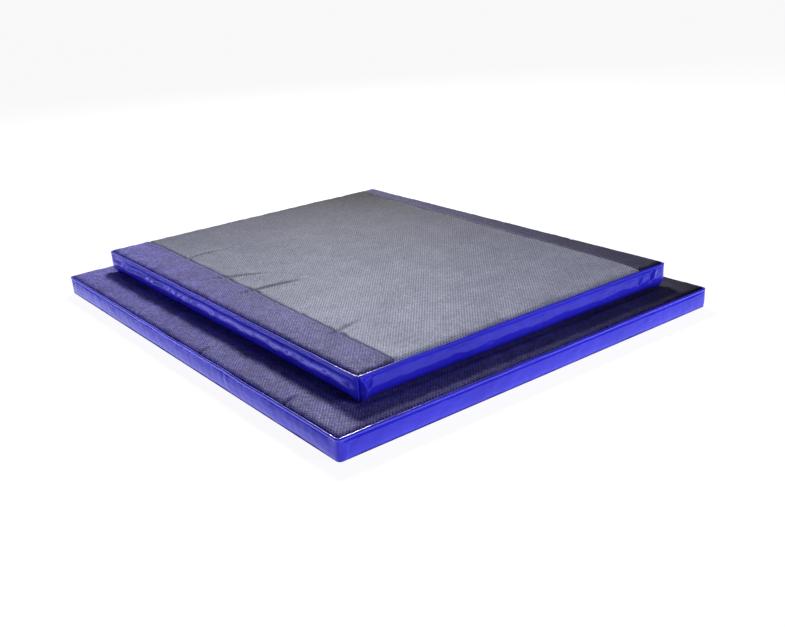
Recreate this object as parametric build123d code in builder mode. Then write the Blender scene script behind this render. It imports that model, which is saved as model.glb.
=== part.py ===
"""Two-tier crash landing mat: a thinner base mat with a smaller, thicker mat lying on top of it.

Each mat is a sewn cover round a two-layer foam slab. The cover is a vinyl floor sheet, four vinyl
side walls joined at the corners, a piped seam round the top edge and a breathable mesh landing face.
The rear wall of each cover is split by a zip, through which the foam goes in.

Millimetres, +Z up. The origin is the middle of the base mat's underside. +Y points to the zips.
"""

from build123d import *
from dataclasses import dataclass
import os

# ---- driving dimensions -------------------------------------------------------------------------
BASE_WIDTH = 1000.0  # along X
BASE_LENGTH = 1200.0  # along Y
BASE_HEIGHT = 45.0
TOP_WIDTH = 850.0
TOP_LENGTH = 1080.0
TOP_HEIGHT = 55.0
TOP_CENTRE = (22.0, 13.0)  # where the top mat's middle lies on the base mat
STACK_GAP = 0.3  # air between the two mats

CORNER_RADIUS = 10.0  # of a mat's outline, seen from above
VINYL = 0.8  # thickness of the coated side and floor fabric
MESH_FABRIC = 1.2  # thickness of the landing-face fabric
FIRM_FOAM = 8.0  # closed-cell layer under the landing face
LEFT_STRIP_FRONT = 87.0  # the dark fabric strips along the top mat's sides taper: width at the front
LEFT_STRIP_REAR = 107.0
RIGHT_STRIP_FRONT = 84.0
RIGHT_STRIP_REAR = 54.0

WELT_RADIUS = 3.0  # piping round the top edge
WELT_CORD_RADIUS = 2.1
WELT_WALL = 0.8  # thickness of the vinyl strip folded round the cord
SEAM_ALLOWANCE = 10.0  # from the top of the mat to the lower edge of the piping's flange

BASE_ZIP_HALF = 450.0  # half the length of the opening in the rear wall
TOP_ZIP_HALF = 380.0
ZIP_WINDOW = 12.4  # height of the opening between the two rear strips

# ---- clearances and insets from a mat's outline -------------------------------------------------
WALL_INSET = 1.8  # the walls stand this far inside the piping's outermost line
FOAM_INSET = 3.7  # just inside the walls and the piping's flange
FIRM_FOAM_INSET = 6.4  # clears the piping above the flange
FACE_INSET = 6.1  # the landing face ends just inside the piping
FOAM_REAR_INSET = 8.0  # leaves room for the zip slider's inner plate
SEWN_GAP = 0.1  # between the walls and the piping above them

# ---- zip ----------------------------------------------------------------------------------------
CHAIN_NEAR = 0.9  # from the zip's centre line to each row of teeth
CHAIN_FAR = 3.3
CHAIN_THICKNESS = 2.4
TAPE_FAR = 12.0
STOP_LENGTH = 4.0
STOP_HALF = 4.2
END_ALLOWANCE = 8.0  # chain stops this far short of each end of the opening
SLIDER_LENGTH = 12.0
SLIDER_HALF = 5.2
SLIDER_PLATE = 1.5
SLIDER_CORNER = 1.0
SLIDER_GAP = 0.4  # air between the slider's plates and the teeth
FLANGE_NEAR = 3.9
TAPE_GAP = 0.4  # air between the slider's lips and the tape
NECK_LENGTH = 3.0
NECK_THICKNESS = 1.0
ARCH_HALF = 3.4  # half the length of the loop that holds the pull
ARCH_POST = 1.2
ARCH_WIDTH = 2.0
ARCH_OPENING = 2.3
ARCH_BAR = 1.0
PULL_PIN_RADIUS = 0.6
PULL_LENGTH = 30.0
PULL_HALF = 3.6
PULL_THICKNESS = 1.2
PULL_ARM_NEAR = 1.35
PULL_ARM_END = 0.6  # the arms reach this far past the pin's middle
PULL_PLATE_START = 4.4
PULL_HOLE_RADIUS = 1.8


@dataclass
class Mat:
    """One padded mat: its name's prefix, half sizes, height, middle and the height it lies at."""

    name: str
    half_x: float
    half_y: float
    height: float
    centre: tuple
    floor: float
    zip_half: float

    def plane(self, z):
        """Horizontal plane at height z above the mat's own underside, centred on the mat."""
        return Plane((self.centre[0], self.centre[1], self.floor + z))

    @property
    def rear(self):
        """Y of the mat's outermost rear line."""
        return self.centre[1] + self.half_y

    @property
    def zip_z(self):
        """Height of the zip's centre line."""
        return self.floor + self.height / 2

    @property
    def wall_top(self):
        """Height of the walls' upper edge above the mat's underside."""
        return self.height - 2 * WELT_RADIUS - SEWN_GAP

    @property
    def chain_half(self):
        return self.zip_half - END_ALLOWANCE

    @property
    def slider_home(self):
        """X of the slider's middle with the zip closed."""
        return self.centre[0] + self.chain_half - SLIDER_LENGTH / 2 - 0.5


BASE = Mat("base", BASE_WIDTH / 2, BASE_LENGTH / 2, BASE_HEIGHT, (0.0, 0.0), 0.0, BASE_ZIP_HALF)
TOP = Mat(
    "top", TOP_WIDTH / 2, TOP_LENGTH / 2, TOP_HEIGHT, TOP_CENTRE, BASE_HEIGHT + STACK_GAP, TOP_ZIP_HALF
)


def finish(piece, label):
    """Names a finished piece and writes it."""
    piece.part.label = label
    export_step(piece.part, f"parts/{label}.step")


def outline(mat, inset, mode=Mode.ADD):
    """The mat's outline, seen from above, moved inwards by inset."""
    RectangleRounded(2 * (mat.half_x - inset), 2 * (mat.half_y - inset), CORNER_RADIUS - inset, mode=mode)


def slab(mat, label, inset, low, high):
    """A flat layer of the mat between two heights."""
    with BuildPart() as layer:
        with BuildSketch(mat.plane(low)):
            outline(mat, inset)
        extrude(amount=high - low)
    finish(layer, label)


# ---- foam ---------------------------------------------------------------------------------------
def foam(mat):
    """The soft slab and the firm sheet bonded to its top. Both stop short of the zip."""
    split = mat.height - MESH_FABRIC - FIRM_FOAM
    for label, inset, low, high in (
        ("soft_foam_slab", FOAM_INSET, VINYL, split),
        ("firm_foam_layer", FIRM_FOAM_INSET, split, split + FIRM_FOAM),
    ):
        with BuildPart() as layer:
            with BuildSketch(mat.plane(low)):
                outline(mat, inset)
                with Locations((0, mat.half_y)):
                    Rectangle(2 * mat.half_x, 2 * FOAM_REAR_INSET, mode=Mode.SUBTRACT)
            extrude(amount=high - low)
        finish(layer, f"{mat.name}_{label}")


# ---- cover --------------------------------------------------------------------------------------
def side_region(mat, side):
    """The part of the outline that one wall covers, cut off at 45 degrees at the corners."""
    out, deep = 5.0, 40.0
    x, y = mat.half_x, mat.half_y
    corners = {
        "front": [(-x - out, -y - out), (x + out, -y - out), (x - deep, deep - y), (deep - x, deep - y)],
        "right": [(x + out, -y - out), (x + out, y + out), (x - deep, y - deep), (x - deep, deep - y)],
        "rear": [(x + out, y + out), (-x - out, y + out), (deep - x, y - deep), (x - deep, y - deep)],
        "left": [(-x - out, y + out), (-x - out, -y - out), (deep - x, deep - y), (deep - x, y - deep)],
    }
    return corners[side]


def wall_section(mat, side):
    """One wall's sheet, seen from above, with half of each corner's bend."""
    outline(mat, WALL_INSET)
    outline(mat, WALL_INSET + VINYL, mode=Mode.SUBTRACT)
    Polygon(*side_region(mat, side), align=None, mode=Mode.INTERSECT)


def plain_walls(mat):
    """The front, left and right walls, each one strip from the floor sheet to the piping."""
    for side in ("front", "left", "right"):
        with BuildPart() as wall:
            with BuildSketch(mat.plane(VINYL)):
                wall_section(mat, side)
            extrude(amount=mat.wall_top - VINYL)
        finish(wall, f"{mat.name}_side_{side}")


def rear_wall(mat):
    """The rear wall: a strip below the zip, one above it, and a tab closing each end of the opening."""
    middle = mat.height / 2
    below, above = middle - ZIP_WINDOW / 2, middle + ZIP_WINDOW / 2
    for label, low, high in (("rear_strip_lower", VINYL, below), ("rear_strip_upper", above, mat.wall_top)):
        with BuildPart() as strip:
            with BuildSketch(mat.plane(low)):
                wall_section(mat, "rear")
            extrude(amount=high - low)
        finish(strip, f"{mat.name}_{label}")
    with BuildPart() as tabs:
        with BuildSketch(mat.plane(below)):
            wall_section(mat, "rear")
            with Locations((0, mat.half_y)):
                Rectangle(2 * mat.zip_half, 4 * CORNER_RADIUS, mode=Mode.SUBTRACT)
        extrude(amount=ZIP_WINDOW)
    finish(tabs, f"{mat.name}_zip_end_tabs")


def welt_path(mat):
    """The piping's centre line: a rounded rectangle drawn from the middle of the front edge."""
    inset = WELT_RADIUS
    x, y, r = mat.half_x - inset, mat.half_y - inset, CORNER_RADIUS - inset
    lines = [
        Line((0, -y), (x - r, -y)),
        RadiusArc((x - r, -y), (x, r - y), -r),
        Line((x, r - y), (x, y - r)),
        RadiusArc((x, y - r), (x - r, y), -r),
        Line((x - r, y), (r - x, y)),
        RadiusArc((r - x, y), (-x, y - r), -r),
        Line((-x, y - r), (-x, r - y)),
        RadiusArc((-x, r - y), (r - x, -y), -r),
        Line((r - x, -y), (0, -y)),
    ]
    return lines


def welt(mat):
    """The piping round the top edge: a cord, and the vinyl strip folded round it with its sewn flange."""
    high = mat.height - WELT_RADIUS
    start = mat.plane(high).from_local_coords((0, WELT_RADIUS - mat.half_y, 0))
    across = Plane(origin=start, x_dir=(0, 1, 0), z_dir=(1, 0, 0))
    with BuildPart() as cord:
        with BuildLine(mat.plane(high)):
            welt_path(mat)
        with BuildSketch(across):
            Circle(WELT_CORD_RADIUS)
        sweep()
    finish(cord, f"{mat.name}_welt_cord")
    flange = SEAM_ALLOWANCE - WELT_RADIUS
    with BuildPart() as cover:
        with BuildLine(mat.plane(high)):
            welt_path(mat)
        with BuildSketch(across):
            Circle(WELT_RADIUS)
            with Locations((0, -flange / 2)):
                Rectangle(WELT_WALL, flange)
            Circle(WELT_RADIUS - WELT_WALL, mode=Mode.SUBTRACT)
        sweep()
    finish(cover, f"{mat.name}_welt_cover")


# ---- landing faces ------------------------------------------------------------------------------
def base_landing_face():
    """The base mat's mesh face, one sheet."""
    slab(BASE, "base_mesh_face", FACE_INSET, BASE.height - MESH_FABRIC, BASE.height)


def top_landing_face():
    """The top mat's mesh face: a pale centre panel sewn between two dark strips that taper."""
    reach, edge = TOP.half_y, TOP.half_x - FACE_INSET
    lines = (
        (-edge, -edge),
        (LEFT_STRIP_FRONT - TOP.half_x, LEFT_STRIP_REAR - TOP.half_x),
        (TOP.half_x - RIGHT_STRIP_FRONT, TOP.half_x - RIGHT_STRIP_REAR),
        (edge, edge),
    )
    labels = ("top_mesh_strip_left", "top_mesh_centre_panel", "top_mesh_strip_right")
    for label, low, high in zip(labels, lines, lines[1:]):
        with BuildPart() as sheet:
            with BuildSketch(TOP.plane(TOP.height - MESH_FABRIC)):
                outline(TOP, FACE_INSET)
                corners = [(low[0], -reach), (high[0], -reach), (high[1], reach), (low[1], reach)]
                Polygon(*corners, align=None, mode=Mode.INTERSECT)
            extrude(amount=MESH_FABRIC)
        finish(sheet, label)


# ---- zip ----------------------------------------------------------------------------------------
def across_zip(mat, x):
    """Plane across the zip at x: its X points out of the wall, its Y up, and its Z along +X."""
    return Plane(origin=(x, mat.rear, mat.zip_z), x_dir=(0, 1, 0), z_dir=(1, 0, 0))


def box_between(low_x, high_x, low_y, high_y, mode=Mode.ADD):
    """A rectangle given by its edges."""
    with Locations(((low_x + high_x) / 2, (low_y + high_y) / 2)):
        Rectangle(high_x - low_x, high_y - low_y, mode=mode)


TAPE_OUT = -WALL_INSET - VINYL  # the tape lies against the inside of the rear strips
TAPE_IN = TAPE_OUT - VINYL
CHAIN_OUT = (TAPE_OUT + TAPE_IN) / 2 + CHAIN_THICKNESS / 2
CHAIN_IN = CHAIN_OUT - CHAIN_THICKNESS


def zip_halves(mat):
    """The two tapes and the row of teeth along the edge of each. The rows stand a divider apart."""
    for label, sign in (("upper", 1), ("lower", -1)):
        near, far = sorted((sign * CHAIN_NEAR, sign * CHAIN_FAR))
        with BuildPart() as chain:
            with BuildSketch(across_zip(mat, mat.centre[0] - mat.chain_half)):
                box_between(CHAIN_IN, CHAIN_OUT, near, far)
            extrude(amount=2 * mat.chain_half)
            fillet(chain.edges().filter_by(Axis.X), CHAIN_THICKNESS / 6)
        finish(chain, f"{mat.name}_zip_chain_{label}")
        near, far = sorted((sign * CHAIN_FAR, sign * TAPE_FAR))
        with BuildPart() as tape:
            with BuildSketch(across_zip(mat, mat.centre[0] - mat.zip_half - END_ALLOWANCE)):
                box_between(TAPE_IN, TAPE_OUT, near, far)
            extrude(amount=2 * (mat.zip_half + END_ALLOWANCE))
        finish(tape, f"{mat.name}_zip_tape_{label}")


def zip_stops(mat):
    """A clamp across both tapes at each end of the chain."""
    with BuildPart() as stops:
        for x in (-mat.chain_half - STOP_LENGTH, mat.chain_half):
            with BuildSketch(across_zip(mat, mat.centre[0] + x)):
                box_between(CHAIN_IN, CHAIN_OUT, -STOP_HALF, STOP_HALF)
                for sign in (1, -1):
                    near, far = sorted((sign * CHAIN_FAR, sign * TAPE_FAR))
                    box_between(TAPE_IN, TAPE_OUT, near, far, mode=Mode.SUBTRACT)
            extrude(amount=STOP_LENGTH)
    finish(stops, f"{mat.name}_zip_stops")


def zip_slider(mat):
    """The slider: two plates joined by a divider, lips round both rows of teeth, and the pull's loop."""
    outer = CHAIN_OUT + SLIDER_GAP
    inner = CHAIN_IN - SLIDER_GAP
    x = mat.slider_home
    rear_end = x - SLIDER_LENGTH / 2
    with BuildPart() as slider:
        with BuildSketch(across_zip(mat, rear_end)):
            box_between(outer, outer + SLIDER_PLATE, -SLIDER_HALF, SLIDER_HALF)
            box_between(inner - SLIDER_PLATE, inner, -SLIDER_HALF, SLIDER_HALF)
            for sign in (1, -1):
                near, far = sorted((sign * FLANGE_NEAR, sign * SLIDER_HALF))
                box_between(TAPE_OUT + TAPE_GAP, outer, near, far)
                box_between(inner, TAPE_IN - TAPE_GAP, near, far)
        extrude(amount=SLIDER_LENGTH)
        corners = slider.edges().filter_by(Axis.Y).group_by(Axis.Z)
        fillet(corners[0] + corners[-1], SLIDER_CORNER)
        with BuildSketch(across_zip(mat, x + SLIDER_LENGTH / 2 - NECK_LENGTH)):
            box_between(inner, outer, -NECK_THICKNESS / 2, NECK_THICKNESS / 2)
        extrude(amount=NECK_LENGTH)
        loop_foot = mat.rear + outer + SLIDER_PLATE
        with BuildSketch(Plane.XY.offset(mat.zip_z - ARCH_WIDTH / 2)):
            high = ARCH_OPENING + ARCH_BAR
            with Locations((x, loop_foot + high / 2)):
                Rectangle(2 * ARCH_HALF, high)
            with Locations((x, loop_foot + ARCH_OPENING / 2)):
                Rectangle(2 * (ARCH_HALF - ARCH_POST), ARCH_OPENING, mode=Mode.SUBTRACT)
        extrude(amount=ARCH_WIDTH)
    finish(slider, f"{mat.name}_zip_slider")


def zip_pull(mat):
    """The pull: a plate whose two arms straddle the slider's loop and carry a pin through it."""
    pin_y = mat.rear + CHAIN_OUT + SLIDER_GAP + SLIDER_PLATE + ARCH_OPENING / 2
    x = mat.slider_home
    with BuildPart() as pull:
        with BuildSketch(Plane((x, pin_y - PULL_THICKNESS / 2, mat.zip_z), x_dir=(1, 0, 0), z_dir=(0, 1, 0))):
            with Locations((PULL_LENGTH / 2 - PULL_ARM_END, 0)):
                RectangleRounded(PULL_LENGTH, 2 * PULL_HALF, 1.5)
            inside = PULL_PLATE_START + 6
            with Locations((PULL_PLATE_START - inside / 2, 0)):
                Rectangle(inside, 2 * PULL_ARM_NEAR, mode=Mode.SUBTRACT)
            with Locations((PULL_LENGTH - 6, 0)):
                Circle(PULL_HOLE_RADIUS, mode=Mode.SUBTRACT)
        extrude(amount=PULL_THICKNESS)
        with BuildSketch(Plane.XY.offset(mat.zip_z - PULL_ARM_NEAR)):
            with Locations((x, pin_y)):
                Circle(PULL_PIN_RADIUS)
        extrude(amount=2 * PULL_ARM_NEAR)
    finish(pull, f"{mat.name}_zip_pull")
    print(f"{mat.name} pull pin at x {x:.2f}, y {pin_y:.2f}, z {mat.zip_z:.2f}")
    print(f"{mat.name} slider travel {2 * (x - mat.centre[0]):.2f}")


os.makedirs("parts", exist_ok=True)
for each in (BASE, TOP):
    foam(each)
    slab(each, f"{each.name}_floor_sheet", WALL_INSET, 0.0, VINYL)
    plain_walls(each)
    rear_wall(each)
    welt(each)
    zip_halves(each)
    zip_stops(each)
    zip_slider(each)
    zip_pull(each)
base_landing_face()
top_landing_face()
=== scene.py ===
"""Looks of the two-tier crash landing mat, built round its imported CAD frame.

Everything is in metres in the row's own frame: the origin is the middle of the base mat's underside,
+Z is up and +Y points to the walls with the zips. Each mat's sewn cover is rebuilt sheet by sheet: the
floor sheet, the walls, the piping round the top edge and the mesh landing face. A cloth simulation of the
walls and landing faces adds to the way they bulge, and the seams, gathers and creases come on top of that.
"""

import math

import bpy
import numpy as np
from mathutils import Matrix, Vector


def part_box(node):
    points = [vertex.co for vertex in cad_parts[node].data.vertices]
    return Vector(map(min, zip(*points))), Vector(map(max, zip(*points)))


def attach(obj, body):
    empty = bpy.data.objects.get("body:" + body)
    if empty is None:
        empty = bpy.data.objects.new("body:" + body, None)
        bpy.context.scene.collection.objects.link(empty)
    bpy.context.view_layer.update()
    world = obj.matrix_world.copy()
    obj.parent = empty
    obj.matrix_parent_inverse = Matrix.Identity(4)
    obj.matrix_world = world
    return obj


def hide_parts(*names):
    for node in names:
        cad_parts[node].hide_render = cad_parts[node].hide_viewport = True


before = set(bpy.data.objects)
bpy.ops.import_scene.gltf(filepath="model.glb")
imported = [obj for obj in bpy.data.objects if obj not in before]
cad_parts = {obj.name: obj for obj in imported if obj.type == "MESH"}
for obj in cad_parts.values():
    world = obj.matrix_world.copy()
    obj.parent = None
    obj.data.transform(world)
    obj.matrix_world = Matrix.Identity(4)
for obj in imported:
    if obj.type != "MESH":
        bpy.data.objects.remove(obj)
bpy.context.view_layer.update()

MM = 0.001

# ---- camera -------------------------------------------------------------------------------------
CAMERA_PLACE = (-1.2258, -1.736, 0.773)
CAMERA_YAW = 36.9  # degrees, turned from +Y towards +X
CAMERA_DOWN = 20.99
CAMERA_ROLL = -3.41
CAMERA_LENS = 43.1  # millimetres, on the default 36 mm sensor

# ---- cover --------------------------------------------------------------------------------------
CORNER_RADIUS = 10 * MM  # of the outline, seen from above
WELT_INSET = 3.0 * MM  # from the outline to the middle of the piping
WELT_HALF_WIDTH = 3.0 * MM
WELT_HALF_HEIGHT = 2.8 * MM
WELT_DROP = 1.2 * MM  # from the mat's nominal top down to the top of the piping
WELT_CORD_RADIUS = 1.9 * MM
FACE_INSET = 5.6 * MM  # from the outline to where the mesh dives under the piping
FACE_DIP = 3.4 * MM  # how far below the mat's top the mesh starts
FACE_ROLL = 3.0 * MM  # how soon it comes up again
FACE_SHOULDER = 2.8 * MM  # and how far it then stands above the mat's top
CROWN = 1.2 * MM  # how much higher the middle of a landing face is
MESH_THICKNESS = 1.2 * MM
VINYL_THICKNESS = 0.8 * MM
WALL_TUCK = 4.6 * MM  # a wall's upper edge lies this far below the mat's top, behind the piping
WALL_INSET = 3.6 * MM  # from the outline to a wall's flat place
WALL_SWELL = 3.5 * MM  # how far it stands out from there; its upper part hangs back, down to a ledge
LEDGE = {"base": (3 * MM, 17 * MM), "top": (13 * MM, 26 * MM)}  # its start and end below the wall's top
LEDGE_SHARE = {"front": 0.35, "right": 0.5, "rear": 0.5, "left": 1.0}  # the left walls hang back most
LEDGE_DEPTH = {"base": 0.55, "top": 1.0}  # and the top mat's walls more than the base mat's
LEDGE_SINK = 1.1 * MM  # how much further in than the flat place a wall lies above a full ledge
WALL_RAKE = 0.8 * MM  # how far the wall's swell falls off towards the floor
WALL_GROOVE = 1.6 * MM  # depth of the pinched line where the wall comes out from under the piping
GROOVE_BELOW = 3.8 * MM  # from the wall's upper edge down to that line
GROOVE_HALF = 1.9 * MM  # and the line's half width
WALL_FOOT = 0.6 * MM  # height of a wall's lower edge above the mat's underside
FLUSH_REACH = 16 * MM  # this near to a corner the walls come out flush with the piping
FLUSH_GAP = 0.7 * MM  # from the outline to the wall there
UNDERCUT = {"base": 2.2 * MM, "top": 13 * MM}  # how far the foot of a wall rolls under
ZIP_WINDOW = 6.2 * MM  # from the zip's middle to each strip's edge
LEFT_STRIP = (87 * MM, 107 * MM)  # the dark strips taper: width at the front and at the rear
RIGHT_STRIP = (84 * MM, 54 * MM)
FOAM_INSET = 9 * MM  # from the outline to both foam layers

# ---- cloth simulation ---------------------------------------------------------------------------
SIM_FRAMES = 20
WALL_PRESSURE = 4.0
FACE_PRESSURE = 0.25  # the foam holds most of the landing face down
WALL_SLACK = 0.012  # spare cloth in the walls, as a share of their size
FACE_SLACK = 0.004
WALL_STEP = 5 * MM
FACE_STEP = 13 * MM
WALL_CAP = 4 * MM  # how far a point may move
FACE_CAP = 4 * MM
WALL_SHARE = 0.3  # how much of the simulated bulge the walls get
FACE_SHARE = 0.5  # and the landing faces

# ---- mesh fabric: staggered holes ---------------------------------------------------------------
HOLES_ACROSS = 145.0  # cycles per metre along X
HOLES_ALONG = 125.0  # and along Y


def smooth_noise(seed, *scaled):
    """Soft waves between about -1 and 1: a few sines of mixed direction over the given coordinates."""
    waves, usual_sum = 7, 3.2
    rng = np.random.default_rng(seed)
    total = 0.0
    for _ in range(waves):
        turn = rng.uniform(0, 2 * math.pi)
        if len(scaled) == 2:
            angle = rng.uniform(0, 2 * math.pi)
            along = scaled[0] * math.cos(angle) + scaled[1] * math.sin(angle)
        else:
            along = scaled[0]
        total = total + np.sin(2 * math.pi * along * rng.uniform(0.6, 1.7) + turn)
    return total / usual_sum


def bump(distance, width):
    """A bell curve of height 1."""
    return np.exp(-((distance / width) ** 2))


def sample(field, rows, columns):
    """Smooth lookup in a 2-D array at fractional rows and columns, by a cubic spline's weights."""
    first_row, first_column = np.floor(rows).astype(int), np.floor(columns).astype(int)
    total = np.zeros(np.broadcast(rows, columns).shape)
    for r in range(-1, 3):
        for c in range(-1, 3):
            near = [np.abs(rows - first_row - r), np.abs(columns - first_column - c)]
            weights = [np.where(d < 1, 4 - 6 * d**2 + 3 * d**3, (2 - d) ** 3) / 6 for d in near]
            row = np.clip(first_row + r, 0, field.shape[0] - 1)
            column = np.clip(first_column + c, 0, field.shape[1] - 1)
            total += weights[0] * weights[1] * field[row, column]
    return total


def stations(low, high, coarse, fine, bands):
    """Grid lines from low to high, a coarse step apart, closing up to a fine step inside the bands."""
    probe = np.linspace(low, high, 4000)
    step = np.full_like(probe, coarse)
    for start, stop in bands:
        inside = ease(probe, start - 2 * coarse, start) * (1 - ease(probe, stop, stop + 2 * coarse))
        step = np.minimum(step, coarse + (fine - coarse) * inside)
    count = np.concatenate([[0], np.cumsum(np.diff(probe) / step[:-1])])
    return np.interp(np.linspace(0, count[-1], int(count[-1]) + 2), count, probe)


def ease(value, low, high):
    """0 below low, 1 above high, smooth between."""
    t = np.clip((value - low) / (high - low), 0, 1)
    return t * t * (3 - 2 * t)


# ---- materials ----------------------------------------------------------------------------------
class Shader:
    """A Principled material and short ways to add nodes to it."""

    def __init__(self, name, **constants):
        self.material = bpy.data.materials.new(name)
        self.material.use_nodes = True
        self.nodes = self.material.node_tree.nodes
        self.links = self.material.node_tree.links
        self.surface = self.nodes["Principled BSDF"]
        for socket, value in constants.items():
            self.surface.inputs[socket.replace("_", " ")].default_value = value
        self.place = self.nodes.new("ShaderNodeTexCoord").outputs["Object"]

    def put(self, socket, value):
        """Sets or links one input."""
        if isinstance(value, bpy.types.NodeSocket):
            self.links.new(value, socket)
        else:
            socket.default_value = value

    def math(self, operation, a, b=0.0):
        """One arithmetic step on one or two values."""
        node = self.nodes.new("ShaderNodeMath")
        node.operation = operation
        self.put(node.inputs[0], a)
        self.put(node.inputs[1], b)
        return node.outputs[0]

    def noise(self, scale, detail=2.0, roughness=0.5, stretch=(1, 1, 1)):
        """Noise between 0 and 1; a stretch below 1 draws it out along that axis."""
        spread = self.nodes.new("ShaderNodeMapping")
        spread.inputs["Scale"].default_value = stretch
        self.links.new(self.place, spread.inputs["Vector"])
        node = self.nodes.new("ShaderNodeTexNoise")
        node.inputs["Scale"].default_value = scale
        node.inputs["Detail"].default_value = detail
        node.inputs["Roughness"].default_value = roughness
        self.links.new(spread.outputs[0], node.inputs["Vector"])
        return node.outputs["Fac"]

    def cells(self, scale):
        """Distance from the middle of the nearest of many small cells."""
        node = self.nodes.new("ShaderNodeTexVoronoi")
        node.inputs["Scale"].default_value = scale
        self.links.new(self.place, node.inputs["Vector"])
        return node.outputs["Distance"]

    def span(self, value, low, high, to_low=0.0, to_high=1.0):
        """Maps a range onto another, smoothly and without running past its ends."""
        node = self.nodes.new("ShaderNodeMapRange")
        node.interpolation_type = "SMOOTHSTEP"
        for socket, setting in zip(("Value", "From Min", "From Max", "To Min", "To Max"),
                                   (value, low, high, to_low, to_high)):
            self.put(node.inputs[socket], setting)
        return node.outputs["Result"]

    def blend(self, share, a, b):
        """Mixes two colours, each a socket or three constants."""
        node = self.nodes.new("ShaderNodeMix")
        node.data_type = "RGBA"
        first_colour, second_colour, mixed = 6, 7, 2  # the node's colour sockets, which share their names
        self.put(node.inputs["Factor"], share)
        for socket, colour in ((first_colour, a), (second_colour, b)):
            if isinstance(colour, tuple):
                colour = (*colour, 1)
            self.put(node.inputs[socket], colour)
        return node.outputs[mixed]

    def relief(self, height, distance, strength=1.0, under=None):
        """A bumped normal, on top of another one where that is given."""
        node = self.nodes.new("ShaderNodeBump")
        node.inputs["Strength"].default_value = strength
        node.inputs["Distance"].default_value = distance
        self.put(node.inputs["Height"], height)
        if under is not None:
            self.links.new(under, node.inputs["Normal"])
        return node.outputs["Normal"]

    def finish(self, colour, roughness, normal=None):
        """Links up the surface and returns the material."""
        self.put(self.surface.inputs["Base Color"], colour)
        self.put(self.surface.inputs["Roughness"], roughness)
        if normal is not None:
            self.put(self.surface.inputs["Normal"], normal)
        return self.material


def vinyl(name, gloss):
    """Coated fabric: saturated blue with a faint grain; gloss is the weight of its clear coat."""
    s = Shader(name, Specular_IOR_Level=0.26, Coat_Weight=gloss, Coat_Roughness=0.08, IOR=1.5)
    shade = s.span(s.noise(7, 2), 0.3, 0.7)
    colour = s.blend(shade, (0.022, 0.018, 0.75), (0.032, 0.027, 0.87))
    scuffs = s.span(s.noise(240, 3, 0.6, stretch=(1, 1, 0.5)), 0.66, 0.82)
    colour = s.blend(s.math("MULTIPLY", scuffs, 0.10), colour, (0.10, 0.09, 0.95))
    roughness = s.span(s.noise(30, 3), 0.25, 0.75, 0.27, 0.40)
    grain = s.relief(s.cells(800), 0.08 * MM, 0.3)
    normal = s.relief(s.noise(45, 1), 0.5 * MM, 0.35, grain)
    return s.finish(colour, roughness, normal)


def mesh_fabric(name, yarn, yarn_worn, hole, sheen, tint, unevenness, painted_light_falloff):
    """Knitted mesh with staggered holes, over a backing that shows dark through them.

    Its yarn is uneven, and its brightness is painted to change by the given shares per metre along X and Y:
    painted light falloff and painted sheen across the mat.
    """
    s = Shader(name, Specular_IOR_Level=0.20, Sheen_Weight=sheen, Sheen_Roughness=0.45, Sheen_Tint=(*tint, 1))
    wander = s.math("MULTIPLY", s.math("SUBTRACT", s.noise(55, 2), 0.5), 2.4 * MM)
    axes = s.nodes.new("ShaderNodeSeparateXYZ")
    s.links.new(s.place, axes.inputs[0])
    waves = []
    for axis, per_metre in ((0, HOLES_ACROSS), (1, HOLES_ALONG)):
        along = s.math("MULTIPLY", s.math("ADD", axes.outputs[axis], wander), 2 * math.pi * per_metre)
        waves.append(s.math("COSINE", along))
    lattice = s.math("MULTIPLY", *waves)
    open_share = s.span(lattice, 0.05, 0.60)
    worn = s.span(s.noise(13, 6, 0.75), 0.30, 0.70)
    streaks = s.span(s.noise(170, 4, 0.7, stretch=(1, 0.5, 1)), 0.32, 0.68, 1 - unevenness, 1 + unevenness)
    fibres_and_painted_light = s.math("MULTIPLY", streaks, s.span(s.noise(900, 2), 0.3, 0.7, 0.75, 1.25))
    # painted light: brightness rises and falls across the mat along X and Y, in place of light falloff and
    # sheen
    across, along = (s.math("MULTIPLY", axes.outputs[k], painted_light_falloff[k]) for k in (0, 1))
    fibres_and_painted_light = s.math("MULTIPLY", fibres_and_painted_light, s.math("ADD", s.math("ADD", across, along), 1.0))
    colour = s.blend(worn, yarn, yarn_worn)
    colour = s.blend(s.math("MULTIPLY", open_share, 0.85), colour, hole)
    shaded = s.nodes.new("ShaderNodeHueSaturation")
    s.links.new(colour, shaded.inputs["Color"])
    s.links.new(fibres_and_painted_light, shaded.inputs["Value"])
    height = s.math("SUBTRACT", 1.0, open_share)
    woven = s.relief(s.noise(1400, 1), 0.25 * MM, 0.5)
    roughness = s.span(s.noise(300, 2), 0.3, 0.7, 0.50, 0.72)
    return s.finish(shaded.outputs[0], roughness, s.relief(height, 0.7 * MM, 0.8, woven))


def floor_vinyl():
    """Dark non-slip coated fabric with small raised pips."""
    s = Shader("floor_vinyl", Specular_IOR_Level=0.4)
    pips = s.span(s.cells(260), 0.15, 0.55, 1.0, 0.0)
    colour = s.blend(s.span(s.noise(14, 3), 0.3, 0.7), (0.012, 0.011, 0.035), (0.022, 0.020, 0.055))
    roughness = s.span(s.noise(90), 0.3, 0.7, 0.5, 0.7)
    return s.finish(colour, roughness, s.relief(pips, 0.6 * MM, 0.9))


def foam(name, low, high, cells_per_metre):
    """Matt foam with fine pores, between a darker and a lighter colour."""
    s = Shader(name, Specular_IOR_Level=0.2, Sheen_Weight=0.2)
    pores = s.span(s.cells(cells_per_metre), 0.1, 0.6)
    colour = s.blend(pores, low, high)
    roughness = s.span(s.noise(200), 0.3, 0.7, 0.8, 0.95)
    return s.finish(colour, roughness, s.relief(pores, 0.5 * MM, 0.8))


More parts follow.
